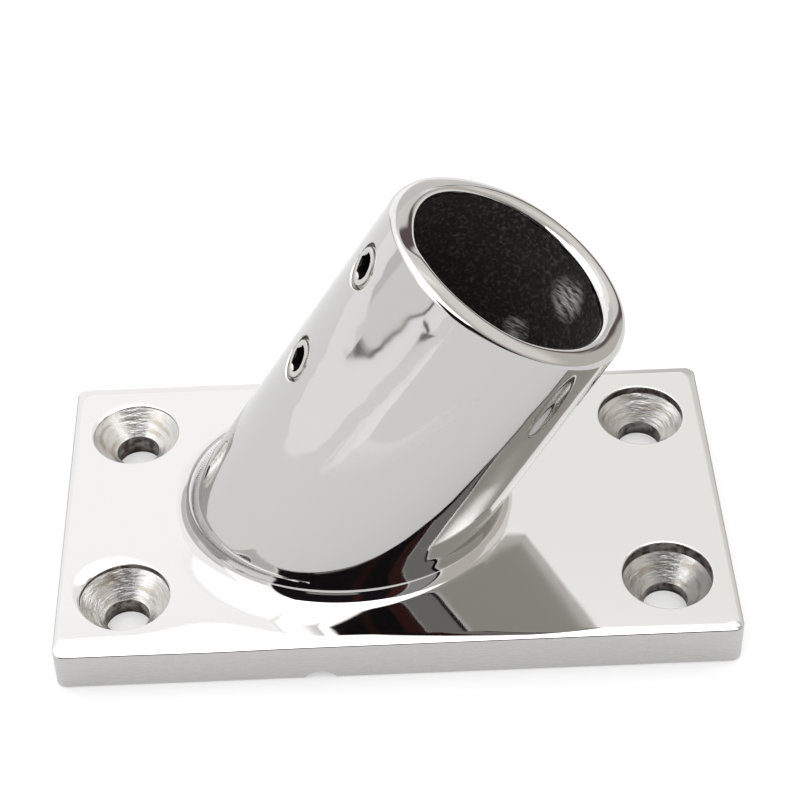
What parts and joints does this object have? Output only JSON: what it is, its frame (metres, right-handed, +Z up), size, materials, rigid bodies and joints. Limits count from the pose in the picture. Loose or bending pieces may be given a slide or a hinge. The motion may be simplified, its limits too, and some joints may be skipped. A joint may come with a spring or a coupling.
{
  "type": "stanchion base",
  "caption": "Rectangular rail stanchion base: a tube socket leaning at 60 degrees on a countersunk plate, with hex set screws in the socket's upper wall.",
  "frame": {"origin": "centre of the plate's underside, on the surface the base is screwed to", "axes": "+X along the plate's length, the way the socket leans; +Y across the plate; +Z up, away from the deck"},
  "size_m": [0.0826, 0.0474, 0.0509],
  "materials": {
    "cast_body": "mirror-polished 316 stainless steel casting; machined countersinks; dark as-cast bore",
    "set_screw": "bright stainless steel with a dark hexagon socket"
  },
  "bodies": {
    "base": {"cast_body": "cast_body"},
    "upper_screw": {"set_screw_upper": "set_screw"},
    "lower_screw": {"set_screw_lower": "set_screw"}
  },
  "joints": [
    {"name": "set_screw_upper_travel", "type": "slide", "parent": "base", "child": "upper_screw", "axis": [-0.8627, -0.0872, 0.4981], "range_m": [-0.0017, 0.0045]},
    {"name": "set_screw_lower_travel", "type": "slide", "parent": "base", "child": "lower_screw", "axis": [-0.8627, -0.0872, 0.4981], "range_m": [-0.0017, 0.0045]}
  ]
}
